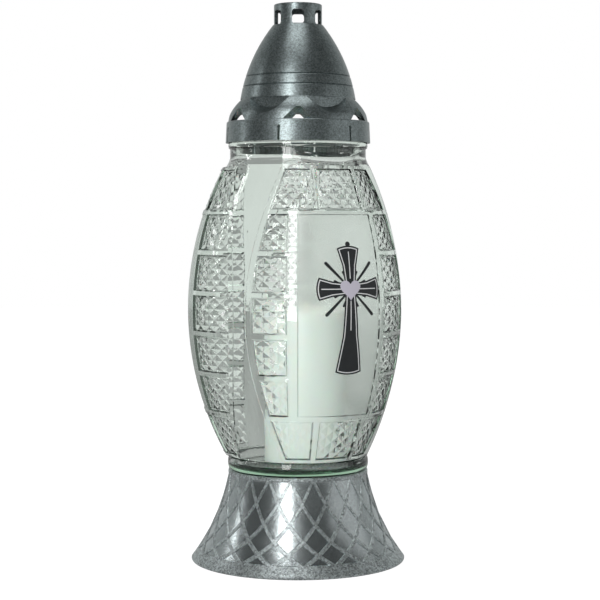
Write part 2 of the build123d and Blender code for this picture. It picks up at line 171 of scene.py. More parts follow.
class FootSizes(bpy.types.PropertyGroup):
    """The flared foot and its diamond lattice."""

    bottom_radius: length("Bottom radius", "Widest radius of the foot", 65.7)
    top_radius: length("Top radius", "Radius of the foot's upper edge", 42.9)
    bow: length("Bow", "How far the flare bows in from a straight cone", 3.2)
    collar: length("Collar", "Plain upright edge at the top", 3.0)
    seat_depth: length("Seat depth", "Collar's edge down to the platform", 6.0)
    platform: length("Platform", "Thickness of the platform that carries the glass", 2.4)
    rim_round: length("Rim round", "Rounding of the lower rim", 1.6)
    wall: length("Wall", "Thickness of the foot", 2.2)
    columns: IntProperty(name="Columns", description="Diamonds round the foot", default=20)
    first_column: angle("First column", "Direction of one column of the lattice", 3.0)
    strip: length("Strip", "Width of the lattice strips", 1.8)
    groove: length("Groove", "Width of the step beside a strip", 0.3)
    recess: length("Recess", "Depth of the diamonds below the lattice", 0.5)
    silver: colour("Silver", "Colour of the foot's paint", (0.41, 0.45, 0.455))


class LidSizes(bpy.types.PropertyGroup):
    """The lid's finish."""

    graphite: colour("Graphite", "Colour of the lid's paint", (0.195, 0.228, 0.23))
    flake: length("Flake", "Size of the paint's flakes", 0.6)


class CandleSizes(bpy.types.PropertyGroup):
    """The refill candle."""

    wall: length("Wall", "Thickness of the cup", 0.9)
    floor: length("Floor", "Thickness of the cup's bottom", 1.2)
    foot_round: length("Foot round", "Rounding of the cup's lower edge", 1.5)
    hollow: length("Hollow", "How far the wax sinks towards the wick", 1.2)
    strands: IntProperty(name="Strands", description="Strands twisted into the wick", default=3)
    pitch: length("Pitch", "Length of one twist of the wick", 4.0)
    white: colour("White", "Colour of the cup", (0.74, 0.74, 0.72))


class PrintSizes(bpy.types.PropertyGroup):
    """The printed cross."""

    centre: length("Centre", "Height of the arms' centre line", 169.15)
    head: length("Head", "Centre line up to the top of the head", 25.0)
    leg: length("Leg", "Centre line down to the end of the leg", 50.0)
    arm: length("Arm", "Centre line out to the end of an arm", 21.0)
    root: length("Root", "Half-width where the arms meet", 3.4)
    arm_end: length("Arm end", "Half-width at an arm's end", 6.75)
    head_end: length("Head end", "Half-width at the head's end", 7.6)
    leg_end: length("Leg end", "Half-width at the leg's end", 8.75)
    bulge: length("Bulge", "How far the ends curve out", 1.6)
    outline: length("Outline", "Width of the dark edge round the white line", 0.95)
    line: length("Line", "Width of the white lines", 0.55)
    ray: length("Ray", "Reach of the long rays", 22.0)
    ray_width: length("Ray width", "Width of the long rays", 2.0)
    heart: length("Heart", "Width of the heart", 13.2)
    margin: length("Margin", "White film past the dark edge", 0.45)
    film: length("Film", "Thickness of one layer of print", 0.05)
    lilac: colour("Lilac", "Colour of the heart", (0.62, 0.59, 0.68))


class StageSizes(bpy.types.PropertyGroup):
    """Camera, floor and lights."""

    azimuth: angle("Azimuth", "Direction the camera looks from", -27.0)
    distance: length("Distance", "Camera to the lamp's axis", 1019)
    height: length("Height", "Camera above the floor", 209)
    tilt: angle("Tilt", "How far the camera looks down", 2.76)
    turn: angle("Turn", "How far the camera turns off the axis", -0.07)
    lens: FloatProperty(name="Lens", description="Focal length in millimetres", default=99.6)
    floor_radius: length("Floor radius", "Size of the floor", 3000)


GROUPS = {
    "lamp_glass": GlassSizes,
    "lamp_foot": FootSizes,
    "lamp_lid": LidSizes,
    "lamp_candle": CandleSizes,
    "lamp_print": PrintSizes,
    "lamp_stage": StageSizes,
}


# ---------------------------------------------------------------- mesh helpers
def finished(bm, name, materials, body, stands_for=(), smooth_angle=30):
    """Turns a bmesh into a piece that rides on a body and may stand for CAD nodes."""
    if any(not edge.is_manifold for edge in bm.edges):
        raise RuntimeError(f"{name} isn't closed")
    mesh = bpy.data.meshes.new(name)
    for face in bm.faces:
        face.smooth = True
    bm.to_mesh(mesh)
    bm.free()
    for material in materials:
        mesh.materials.append(material)
    mesh.set_sharp_from_angle(angle=math.radians(smooth_angle))
    piece = bpy.data.objects.new(name, mesh)
    bpy.context.scene.collection.objects.link(piece)
    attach(piece, body)
    if stands_for:
        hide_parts(*stands_for)
    return piece


def cut(bm, point, normal, where=None):
    """Cuts the flat sheet along a line; where, a test on a face, limits the cut."""
    faces = [f for f in bm.faces if where is None or where(f)]
    geometry = {v for f in faces for v in f.verts} | {e for f in faces for e in f.edges} | set(faces)
    if geometry:
        bmesh.ops.bisect_plane(bm, geom=list(geometry), dist=1e-7, plane_co=point, plane_no=normal)


def cut_level(bm, height, where=None):
    """Cuts the flat sheet level at a height."""
    cut(bm, (0, height, 0), (0, 1, 0), where)


def cut_upright(bm, across, where=None):
    """Cuts the flat sheet upright at a distance across."""
    cut(bm, (across, 0, 0), (1, 0, 0), where)


def flat(radians):
    """An angle as a distance across a flat sheet."""
    return math.degrees(radians) * FLAT


def between(start, end, count):
    """count + 1 values from start to end, evenly spaced."""
    return [start + (end - start) * i / count for i in range(count + 1)]


def arc_radius(low, middle, high, height):
    """Radius at a height of the upright arc through three (radius, height) points."""
    (r1, z1), (r2, z2), (r3, z3) = low, middle, high
    a, b = 2 * (r2 - r1), 2 * (z2 - z1)
    c, d = 2 * (r3 - r2), 2 * (z3 - z2)
    e, f = r2**2 - r1**2 + z2**2 - z1**2, r3**2 - r2**2 + z3**2 - z2**2
    centre_r = (e * d - b * f) / (a * d - b * c)
    centre_z = (a * f - e * c) / (a * d - b * c)
    size = math.hypot(r2 - centre_r, z2 - centre_z)
    side = 1 if r2 > centre_r else -1
    return centre_r + side * math.sqrt(max(size**2 - (height - centre_z) ** 2, 0.0))


def half_round(share):
    """Height of a half circle over its flat side at a share across it, from 0 to 1."""
    return math.sqrt(max(1 - (2 * share - 1) ** 2, 0.0))


def repeated(bm, count):
    """Copies everything round the axis until there are count sectors, and joins them."""
    sector = list(bm.verts) + list(bm.edges) + list(bm.faces)
    for number in range(1, count):
        copy = bmesh.ops.duplicate(bm, geom=sector)["geom"]
        verts = [v for v in copy if isinstance(v, bmesh.types.BMVert)]
        turn = Matrix.Rotation(2 * math.pi * number / count, 4, "Z")
        bmesh.ops.transform(bm, matrix=turn, verts=verts)
    bmesh.ops.remove_doubles(bm, verts=list(bm.verts), dist=MERGE)


def plain_corners(bm):
    """Splits every face of more than four corners."""
    bmesh.ops.triangulate(bm, faces=[f for f in bm.faces if len(f.verts) > 4])


def arc(centre, size, start, end, steps):
    """Points of an arc about centre, with angles in degrees."""
    return [
        (centre[0] + size * math.cos(math.radians(a)), centre[1] + size * math.sin(math.radians(a)))
        for a in between(start, end, steps)
    ]


def turned(outline, steps=96):
    """A bmesh turned about the upright axis from an outline of (radius, height) points."""
    bm = bmesh.new()
    verts = [bm.verts.new((radius, 0, height)) for radius, height in outline]
    edges = [bm.edges.new(pair) for pair in zip(verts, verts[1:])]
    bmesh.ops.spin(bm, geom=verts + edges, cent=(0, 0, 0), axis=(0, 0, 1), angle=2 * math.pi, steps=steps,
                   use_merge=True)
    bmesh.ops.remove_doubles(bm, verts=list(bm.verts), dist=MERGE)
    bmesh.ops.recalc_face_normals(bm, faces=list(bm.faces))
    return bm


# ---------------------------------------------------------------- shared effects
def new_group(name, inputs, outputs):
    """An empty node group; gives the group, its input values and its output sockets."""
    group = bpy.data.node_groups.new(name, "ShaderNodeTree")
    for label, kind, default in inputs:
        socket = group.interface.new_socket(name=label, in_out="INPUT", socket_type="NodeSocket" + kind)
        if default is not None:
            socket.default_value = default
    for label, kind in outputs:
        group.interface.new_socket(name=label, in_out="OUTPUT", socket_type="NodeSocket" + kind)
    return group, group.nodes.new("NodeGroupInput").outputs, group.nodes.new("NodeGroupOutput").inputs


def maths(tree, operation, *values, clamp=False):
    """A Math node; the values are sockets or numbers."""
    node = tree.nodes.new("ShaderNodeMath")
    node.operation = operation
    node.use_clamp = clamp
    for socket, value in zip(node.inputs, values):
        if isinstance(value, bpy.types.NodeSocket):
            tree.links.new(value, socket)
        else:
            socket.default_value = value
    return node.outputs[0]


def noise(tree, vector, scale, detail=3.0, roughness=0.5):
    """A Noise Texture; scale is a socket or a number per metre."""
    node = tree.nodes.new("ShaderNodeTexNoise")
    node.inputs["Detail"].default_value = detail
    node.inputs["Roughness"].default_value = roughness
    tree.links.new(vector, node.inputs["Vector"])
    if isinstance(scale, bpy.types.NodeSocket):
        tree.links.new(scale, node.inputs["Scale"])
    else:
        node.inputs["Scale"].default_value = scale
    return node.outputs["Fac"]


def blended(tree, kind, share, first, second):
    """A colour Mix node; share, first and second are sockets or values."""
    node = tree.nodes.new("ShaderNodeMix")
    node.data_type = "RGBA"
    node.blend_type = kind
    for socket, value in ((node.inputs[0], share), (node.inputs[6], first), (node.inputs[7], second)):
        if isinstance(value, bpy.types.NodeSocket):
            tree.links.new(value, socket)
        elif isinstance(value, float):
            socket.default_value = value
        else:
            socket.default_value = (*value, 1.0)
    return node.outputs[2]


def make_flake_group():
    """Metal-flake paint: a tone and a height that change from flake to flake."""
    group, given, out = new_group(
        "Flake Paint",
        [("Vector", "Vector", None), ("Colour", "Color", (0.5, 0.5, 0.5, 1)), ("Flakes", "Float", 2500.0),
         ("Contrast", "Float", 0.5)],
        [("Colour", "Color"), ("Tone", "Float"), ("Height", "Float")],
    )
    cells = group.nodes.new("ShaderNodeTexVoronoi")
    group.links.new(given["Vector"], cells.inputs["Vector"])
    group.links.new(given["Flakes"], cells.inputs["Scale"])
    parts = group.nodes.new("ShaderNodeSeparateColor")
    group.links.new(cells.outputs["Color"], parts.inputs["Color"])
    cloud = noise(group, given["Vector"], maths(group, "MULTIPLY", given["Flakes"], 0.35), 2.0)
    tone = maths(group, "ADD", maths(group, "MULTIPLY", parts.outputs[0], 0.65),
                 maths(group, "MULTIPLY", cloud, 0.35))
    swing = maths(group, "MULTIPLY", maths(group, "SUBTRACT", tone, 0.5), given["Contrast"])
    gain = maths(group, "ADD", swing, 1.0)
    shade = group.nodes.new("ShaderNodeCombineColor")
    for channel in range(3):
        group.links.new(gain, shade.inputs[channel])
    group.links.new(blended(group, "MULTIPLY", 1.0, given["Colour"], shade.outputs[0]), out["Colour"])
    group.links.new(tone, out["Tone"])
    group.links.new(maths(group, "ADD", parts.outputs[1], cloud), out["Height"])
    return group


def make_handling_group():
    """Roughness that wanders, as on a surface that hands and dust have touched."""
    group, given, out = new_group(
        "Handling",
        [("Vector", "Vector", None), ("Patches", "Float", 60.0), ("Middle", "Float", 0.4),
         ("Swing", "Float", 0.1)],
        [("Roughness", "Float"), ("Mask", "Float")],
    )
    broad = noise(group, given["Vector"], given["Patches"], 4.0, 0.55)
    fine = noise(group, given["Vector"], maths(group, "MULTIPLY", given["Patches"], 14.0), 2.0)
    mask = maths(group, "ADD", maths(group, "MULTIPLY", broad, 0.7), maths(group, "MULTIPLY", fine, 0.3))
    offset = maths(group, "MULTIPLY", maths(group, "SUBTRACT", mask, 0.5), given["Swing"])
    group.links.new(maths(group, "ADD", given["Middle"], offset, clamp=True), out["Roughness"])
    group.links.new(mask, out["Mask"])
    return group


def make_waves_group():
    """A gentle uneven height, as on pressed glass, poured wax or moulded plastic."""
    group, given, out = new_group(
        "Surface Waves",
        [("Vector", "Vector", None), ("Waves", "Float", 90.0), ("Fine", "Float", 0.3)],
        [("Height", "Float")],
    )
    broad = noise(group, given["Vector"], given["Waves"], 2.0)
    small = noise(group, given["Vector"], maths(group, "MULTIPLY", given["Waves"], 9.0), 2.0)
    group.links.new(maths(group, "ADD", broad, maths(group, "MULTIPLY", small, given["Fine"])), out["Height"])
    return group


class Finish:
    """A material under way: a Principled BSDF on Object coordinates, with helpers for the shared groups."""

    def __init__(self, name, **constants):
        self.material = bpy.data.materials.new(name)
        self.material.use_nodes = True
        self.tree = self.material.node_tree
        self.tree.nodes.clear()
        self.output = self.tree.nodes.new("ShaderNodeOutputMaterial")
        self.shader = self.tree.nodes.new("ShaderNodeBsdfPrincipled")
        self.tree.links.new(self.shader.outputs["BSDF"], self.output.inputs["Surface"])
        self.vector = self.tree.nodes.new("ShaderNodeTexCoord").outputs["Object"]
        for label, value in constants.items():
            self.shader.inputs[label.replace("_", " ")].default_value = value

    def place(self, group, **values):
        """Places a shared group with its own values, and gives its outputs."""
        node = self.tree.nodes.new("ShaderNodeGroup")
        node.node_tree = bpy.data.node_groups[group]
        self.tree.links.new(self.vector, node.inputs["Vector"])
        for label, value in values.items():
            if isinstance(value, bpy.types.NodeSocket):
                self.tree.links.new(value, node.inputs[label])
            else:
                node.inputs[label].default_value = value
        return node.outputs

    def feed(self, label, socket):
        """Links a socket to the shader."""
        self.tree.links.new(socket, self.shader.inputs[label])

    def bump(self, height, distance, strength=1.0):
        """Feeds the shader's Normal with a height; distance is in metres."""
        node = self.tree.nodes.new("ShaderNodeBump")
        node.inputs["Strength"].default_value = strength
        node.inputs["Distance"].default_value = distance
        self.tree.links.new(height, node.inputs["Height"])
        self.feed("Normal", node.outputs["Normal"])


def painted(name, base, flake, contrast, middle, swing, lift, metallic):
    """Metal-flake paint on a moulding."""
    finish = Finish(name, Metallic=metallic, Specular_IOR_Level=0.5)
    paint = finish.place("Flake Paint", Colour=(*base, 1), Flakes=1 / flake, Contrast=contrast)
    finish.feed("Base Color", paint["Colour"])
    finish.feed("Roughness", finish.place("Handling", Patches=70.0, Middle=middle, Swing=swing)["Roughness"])
    finish.bump(paint["Height"], lift)
    return finish.material


def lid_paint(sizes):
    """Graphite-silver paint with fine flakes."""
    return painted("lid_paint", sizes.graphite, sizes.flake, 1.1, 0.32, 0.10, 0.03 * MM, 0.95)


def foot_strip_paint(sizes):
    """Coarse silver paint on the raised lattice and the plain bands."""
    return painted("foot_strip_paint", sizes.silver, 0.8 * MM, 1.6, 0.42, 0.10, 0.11 * MM, 0.92)


def foot_diamond_paint(sizes):
    """Smooth, glossy silver in the sunk diamonds."""
    return painted("foot_diamond_paint", sizes.silver, 0.4 * MM, 0.8, 0.22, 0.10, 0.012 * MM, 0.96)


def satin_panels(finish, sizes):
    """Roughness of the glass: a satin skin on the plain panels, none elsewhere."""
    tree = finish.tree
    place = tree.nodes.new("ShaderNodeSeparateXYZ")
    tree.links.new(finish.vector, place.inputs[0])
    turn = maths(tree, "SUBTRACT", maths(tree, "ARCTAN2", place.outputs["Y"], place.outputs["X"]), FIELD_TURN)
    turn = maths(tree, "WRAP", turn, math.pi / FIELD_COUNT, -math.pi / FIELD_COUNT)
    low, high = sizes.fields_bottom + sizes.end_row, sizes.fields_top - sizes.end_row
    across = maths(tree, "COMPARE", turn, (sizes.panel_left + sizes.panel_right) / 2,
                   (sizes.panel_right - sizes.panel_left) / 2)
    along = maths(tree, "COMPARE", place.outputs["Z"], (low + high) / 2, (high - low) / 2)
    return maths(tree, "MULTIPLY", maths(tree, "MULTIPLY", across, along), sizes.satin)


def pressed_glass(sizes):
    """Pale green pressed glass; light that makes shadows goes through it."""
    finish = Finish("pressed_glass", IOR=1.5, Transmission_Weight=1.0)
    finish.feed("Roughness", satin_panels(finish, sizes))
    tree = finish.tree
    waves = finish.place("Surface Waves", Waves=55.0, Fine=0.12)
    finish.bump(waves["Height"], 0.1 * MM)
    tint = blended(tree, "MIX", waves["Height"], sizes.tint, tuple(c * 0.985 for c in sizes.tint))
    finish.feed("Base Color", tint)
    clear = tree.nodes.new("ShaderNodeBsdfTransparent")
    clear.inputs["Color"].default_value = (*sizes.tint, 1)
    mix = tree.nodes.new("ShaderNodeMixShader")
    tree.links.new(tree.nodes.new("ShaderNodeLightPath").outputs["Is Shadow Ray"], mix.inputs[0])
    tree.links.new(finish.shader.outputs["BSDF"], mix.inputs[1])
    tree.links.new(clear.outputs["BSDF"], mix.inputs[2])
    tree.links.new(mix.outputs["Shader"], finish.output.inputs["Surface"])
    inside = tree.nodes.new("ShaderNodeVolumeAbsorption")
    inside.inputs["Color"].default_value = (*sizes.depth_tint, 1)
    inside.inputs["Density"].default_value = sizes.depth_strength
    tree.links.new(inside.outputs["Volume"], finish.output.inputs["Volume"])
    return finish.material


def matt(name, base, darker, middle, patches, lift, **constants):
    """A plain solid stuff whose tone and roughness wander a little."""
    finish = Finish(name, **constants)
    touch = finish.place("Handling", Patches=patches, Middle=middle, Swing=0.16)
    finish.feed("Base Color", blended(finish.tree, "MIX", touch["Mask"], base, darker))
    finish.feed("Roughness", touch["Roughness"])
    finish.bump(finish.place("Surface Waves", Waves=patches * 2, Fine=0.5)["Height"], lift)
    return finish.material


def cup_plastic(sizes):
    """Thin white moulded plastic."""
    darker = tuple(c * 0.96 for c in sizes.white)
    return matt("cup_plastic", sizes.white, darker, 0.38, 50.0, 0.03 * MM, Subsurface_Weight=0.25,
                Subsurface_Scale=0.004)


def wax():
    """White paraffin wax."""
    return matt("wax", (0.92, 0.91, 0.87), (0.86, 0.84, 0.78), 0.45, 80.0, 0.08 * MM, Subsurface_Weight=0.5,
                Subsurface_Scale=0.008)


def wick_cotton():
    """Waxed cotton."""
    return matt("wick_cotton", (0.82, 0.78, 0.68), (0.66, 0.60, 0.48), 0.85, 900.0, 0.05 * MM,
                Sheen_Weight=0.3)


def hot_glue():
    """Milky hot-melt glue."""
    return matt("hot_glue", (0.84, 0.80, 0.68), (0.74, 0.69, 0.55), 0.3, 240.0, 0.1 * MM,
                Subsurface_Weight=0.3, Subsurface_Scale=0.002)


def print_ink(name, base, darker):
    """Screen print with a faint grain."""
    return matt(name, base, darker, 0.5, 260.0, 0.004 * MM, Specular_IOR_Level=0.3)


def bright_metal(name, base, stretch, middle):
    """Rolled or drawn metal with fine marks along one direction."""
    finish = Finish(name, Metallic=1.0)
    mapping = finish.tree.nodes.new("ShaderNodeMapping")
    mapping.inputs["Scale"].default_value = stretch
    finish.tree.links.new(finish.vector, mapping.inputs["Vector"])
    marks = noise(finish.tree, mapping.outputs["Vector"], 900.0, 3.0)
    darker = tuple(c * 0.8 for c in base)
    finish.feed("Base Color", blended(finish.tree, "MIX", marks, base, darker))
    finish.feed("Roughness", finish.place("Handling", Patches=120.0, Middle=middle, Swing=0.2)["Roughness"])
    finish.bump(marks, 0.01 * MM)
    return finish.material


# ---------------------------------------------------------------- pressed glass
RIM_RUN = 6 * MM           # share of the flat sheet that goes over the rim
CORNER_RUN = 4 * MM        # and round the corner between wall and floor
LEDGE_RUN = 0.6 * MM       # and over the ledges at the fields' edges
GLASS_SMOOTH_ANGLE = 13    # degrees; sharper edges of the pressed relief stay crisp


def glass_stations(sizes):
    """Distances along the section, from the heel's middle up the outside and down the inside to the floor."""
    heel = GLASS_LOW.z
    rim = GLASS_HIGH.z - (sizes.rim_radius - sizes.bore) / 2
    inside = rim + RIM_RUN
    corner = inside + rim - sizes.floor - sizes.corner
    level = corner + CORNER_RUN
    reach = sizes.strip_low - sizes.wall - sizes.corner
    return {"start": heel - sizes.heel_radius, "heel": heel, "rim": rim, "inside": inside, "corner": corner,
            "level": level, "end": level + reach, "reach": reach}


def body_radius(sizes, height, turn, inset=0.0):
    """Radius of the strips and fields at a height and a turn from a field's middle."""
    height = min(max(height, sizes.fields_bottom), sizes.fields_top)
    low, middle, high = sizes.fields_bottom, sizes.belly, sizes.fields_top
    strip = arc_radius((sizes.strip_low, low), (sizes.strip_mid, middle), (sizes.strip_high, high), height)
    offset = sizes.field_offset
    lobe = arc_radius((sizes.field_low - offset, low), (sizes.field_mid - offset, middle),
                      (sizes.field_high - offset, high), height)
    field = offset * math.cos(turn) + math.sqrt(lobe**2 - (offset * math.sin(turn)) ** 2)
    return max(strip, field) - inset


def outside_radius(sizes, height, turn):
    """Radius of the outer skin at a height and a turn from a field's middle."""
    if height < sizes.bead_bottom:
        return sizes.heel_radius
    if height <= sizes.bead_top + 0.01 * MM:
        share = (height - sizes.bead_bottom) / (sizes.bead_top - sizes.bead_bottom)
        return sizes.bead_radius - sizes.bead_round * (1 - half_round(share))
    if height <= sizes.fields_top:
        return body_radius(sizes, height, turn)
    if height <= sizes.neck_bottom:
        share = (height - sizes.fields_top) / (sizes.neck_bottom - sizes.fields_top)
        return sizes.neck_radius + (sizes.strip_high - sizes.neck_radius) * (1 - share) ** 1.4
    if sizes.ring_bottom <= height <= sizes.ring_top:
        share = (height - sizes.ring_bottom) / (sizes.ring_top - sizes.ring_bottom)
        return sizes.neck_radius + sizes.ring_round * half_round(share)
    return sizes.neck_radius if height < sizes.ring_top else sizes.rim_radius


def inside_radius(sizes, height, turn):
    """Radius of the hollow at a height and a turn from a field's middle."""
    hollow = body_radius(sizes, height, turn, inset=sizes.wall)
    share = min(max((height - sizes.fields_top) / (sizes.ring_bottom - sizes.fields_top), 0.0), 1.0)
    ease = share * share * (3 - 2 * share)
    return hollow + (sizes.bore - hollow) * ease


def glass_point(sizes, stations, across, along, relief):
    """Where a point of the flat sheet goes."""
    turn = math.radians(across / FLAT)
    if along < stations["heel"]:
        radius, height = along - stations["start"], stations["heel"]
    elif along <= stations["rim"]:
        radius, height = outside_radius(sizes, along, turn) + relief, along
    elif along < stations["inside"]:
        tip = math.pi * (along - stations["rim"]) / RIM_RUN
        middle, half = (sizes.rim_radius + sizes.bore) / 2, (sizes.rim_radius - sizes.bore) / 2
        radius, height = middle + half * math.cos(tip), stations["rim"] + half * math.sin(tip)
    elif along <= stations["corner"]:
        height = stations["rim"] - (along - stations["inside"])
        radius = inside_radius(sizes, height, turn)
    elif along < stations["level"]:
        tip = math.pi / 2 * (along - stations["corner"]) / CORNER_RUN
        wall = inside_radius(sizes, sizes.floor, turn)
        radius = wall - sizes.corner * (1 - math.cos(tip))
        height = sizes.floor + sizes.corner * (1 - math.sin(tip))
    else:
        share = (along - stations["level"]) / stations["reach"]
        wall = inside_radius(sizes, sizes.floor, turn)
        radius, height = (wall - sizes.corner) * (1 - share), sizes.floor
    return Vector((radius * math.cos(FIELD_TURN + turn), radius * math.sin(FIELD_TURN + turn), height))


def outline_half(sizes, height):
    """Half-width of a field on the flat sheet at a height."""
    middle = (sizes.fields_bottom + sizes.fields_top) / 2
    share = (height - middle) / (sizes.fields_top - middle)
    return flat(sizes.outline_mid + (sizes.outline_end - sizes.outline_mid) * share**2)


def cut_outline(bm, sizes, levels, margin):
    """Cuts both sides of a field's outline, moved out by margin, as a chord between each two levels."""
    for low, high in zip(levels, levels[1:]):
        for side in (-1, 1):
            start = Vector((side * (outline_half(sizes, low) + margin), low, 0))
            end = Vector((side * (outline_half(sizes, high) + margin), high, 0))
            along = end - start
            cut(bm, start, (along.y, -along.x, 0), lambda f: low < f.calc_center_median().y < high)


def sink(bm, faces, width, depth):
    """Joins faces to one, sinks it in two steps, and gives the sunk face."""
    region = bmesh.ops.dissolve_faces(bm, faces=faces, use_verts=False)["region"]
    for share_width, share_depth in ((0.4, 0.3), (0.6, 0.7)):
        bmesh.ops.inset_region(bm, faces=region, thickness=width * share_width, depth=-depth * share_depth,
                               use_even_offset=True)
    return region


def glass_regions(sizes, ribs):
    """(left, right, low, high, patterned) of every sunk place in a field."""
    half, edge = sizes.rib / 2, sizes.border * 0.6
    left, right = flat(sizes.panel_left), flat(sizes.panel_right)
    left_block, right_block = left - flat(sizes.left_rib), right + flat(sizes.right_rib)
    far = flat(math.pi / FIELD_COUNT)
    rib, rib_half = flat(sizes.end_rib), flat(sizes.end_rib_width) / 2
    places = [(left, right, ribs[0] + half, ribs[-1] - half, False)]
    for low, high in zip(ribs, ribs[1:]):
        places.append((-far, left_block, low + half, high - half, True))
        places.append((right_block, far, low + half, high - half, True))
    ends = ((sizes.fields_bottom + edge, ribs[0] - half), (ribs[-1] + half, sizes.fields_top - edge))
    for low, high in ends:
        places.append((-far, -rib - rib_half, low, high, True))
        places.append((rib_half - rib, rib - rib_half, low, high, True))
        places.append((rib + rib_half, far, low, high, True))
    return places


def facet(bm, sizes, layer):
    """Cuts the marked faces into diamonds and raises a point in the middle of each."""
    width, height = sizes.diamond_width, sizes.diamond_height
    reach = flat(math.pi / FIELD_COUNT) / width
    for slope in (-1, 1):
        corners = [slope * along / height + side * reach
                   for along in (sizes.fields_bottom, sizes.fields_top) for side in (-1, 1)]
        for number in range(math.floor(min(corners)), math.ceil(max(corners)) + 1):
            cut(bm, (number * width, 0, 0), (1 / width, slope / height, 0), lambda f: f[layer])
    marked = [f for f in bm.faces if f[layer]]
    rise = sizes.diamond_rise / ((width + height) / 4)
    bmesh.ops.poke(bm, faces=marked, offset=rise, center_mode="MEAN_WEIGHTED", use_relative_offset=True)


def build_glass(sizes):
    """The pressed-glass body, pressed as one flat sector, wrapped and repeated."""
    stations = glass_stations(sizes)
    half_turn = flat(math.pi / FIELD_COUNT)
    bm = bmesh.new()
    layer = bm.faces.layers.int.new("facet")
    corners = [(-half_turn, stations["start"]), (half_turn, stations["start"]),
               (half_turn, stations["end"]), (-half_turn, stations["end"])]
    bm.faces.new([bm.verts.new((x, y, 0)) for x, y in corners])

    ribs = between(sizes.fields_bottom + sizes.end_row, sizes.fields_top - sizes.end_row, sizes.middle_rows)
    places = glass_regions(sizes, ribs)
    edges = sorted({round(value, 7) for place in places for value in place[2:4]})
    levels = sorted({sizes.fields_bottom, sizes.fields_top}
                    | {round(v, 7) for low, high in zip(edges, edges[1:])
                       for v in between(low, high, max(1, round((high - low) / (5.5 * MM))))})
    for height in levels:
        cut_level(bm, height)
    for margin in (0.5 * MM, 0.0, -sizes.border):
        cut_outline(bm, sizes, levels, margin)
    for left, right, low, high, _ in places:
        for across in (left, right):
            if abs(across) < half_turn:
                cut_upright(bm, across, lambda f: low < f.calc_center_median().y < high)
    for left, right, low, high, patterned in places:
        inner = [f for f in bm.faces if within(f, sizes, left, right, low, high)]
        depth = sizes.recess if patterned else sizes.panel_recess
        for face in sink(bm, inner, 0.9 * MM if patterned else 0.6 * MM, depth):
            face[layer] = int(patterned)
    facet(bm, sizes, layer)

    rounds = [*between(sizes.bead_bottom, sizes.bead_top, 10), *between(sizes.ring_bottom, sizes.ring_top, 8),
              *between(stations["rim"], stations["inside"], 8),
              *between(stations["corner"], stations["level"], 4)]
    plain = [stations["heel"], sizes.bead_bottom - 0.1 * MM, sizes.bead_top + LEDGE_RUN / 2,
             sizes.fields_top + LEDGE_RUN, *between(sizes.fields_top + LEDGE_RUN, sizes.neck_bottom, 5),
             *between(sizes.neck_bottom, sizes.ring_bottom, 3), sizes.ring_top + LEDGE_RUN,
             *between(sizes.ring_top, stations["rim"], 3),
             *between(stations["inside"], stations["corner"], 52),
             *between(stations["level"], stations["end"], 5),
             *between(stations["start"], stations["heel"], 5)]
    for height in sorted(set(levels + rounds + plain)):
        cut_level(bm, height, lambda f: not f[layer])
    across = TURN_STEP - half_turn
    while across < half_turn - TURN_STEP / 2:
        cut_upright(bm, across, lambda f: not f[layer])
        across += TURN_STEP

    for vert in bm.verts:
        inside_field = sizes.fields_bottom + 0.1 * MM < vert.co.y < sizes.fields_top - 0.1 * MM
        if inside_field and abs(vert.co.x) < outline_half(sizes, vert.co.y) + 0.1 * MM:
            vert.co.z += sizes.edge_rise
        vert.co = glass_point(sizes, stations, *vert.co)
    bmesh.ops.remove_doubles(bm, verts=list(bm.verts), dist=MERGE)
    repeated(bm, FIELD_COUNT)
    plain_corners(bm)
    return finished(bm, "pressed_glass_body", [pressed_glass(sizes)], "lamp", ("glass_body",),
                    GLASS_SMOOTH_ANGLE)


def within(face, sizes, left, right, low, high):
    """Whether a face of the flat sheet lies in a place and inside the field's border."""
    centre = face.calc_center_median()
    limit = outline_half(sizes, centre.y) - sizes.border
    return left < centre.x < right and low < centre.y < high and abs(centre.x) < limit


# ---------------------------------------------------------------- foot
FOOT_ROWS = (54.9, 40.7, 29.2, 19.7, 12.6, 6.5)   # heights of the lattice's crossings, in millimetres
FOOT_SMOOTH_ANGLE = 22     # degrees; the lattice's edges stay crisp


def flare_radius(sizes, height):
    """Radius of the foot's outside at a height."""
    low, high = FOOT_LOW.z + sizes.rim_round, FOOT_HIGH.z - sizes.collar
    if height >= high:
        return sizes.top_radius
    middle_r, middle_z = (sizes.bottom_radius + sizes.top_radius) / 2, (low + high) / 2
    run, rise = sizes.bottom_radius - sizes.top_radius, high - low
    slant = math.hypot(run, rise)
    middle = (middle_r - sizes.bow * rise / slant, middle_z - sizes.bow * run / slant)
    return arc_radius((sizes.bottom_radius, low), middle, (sizes.top_radius, high), height)


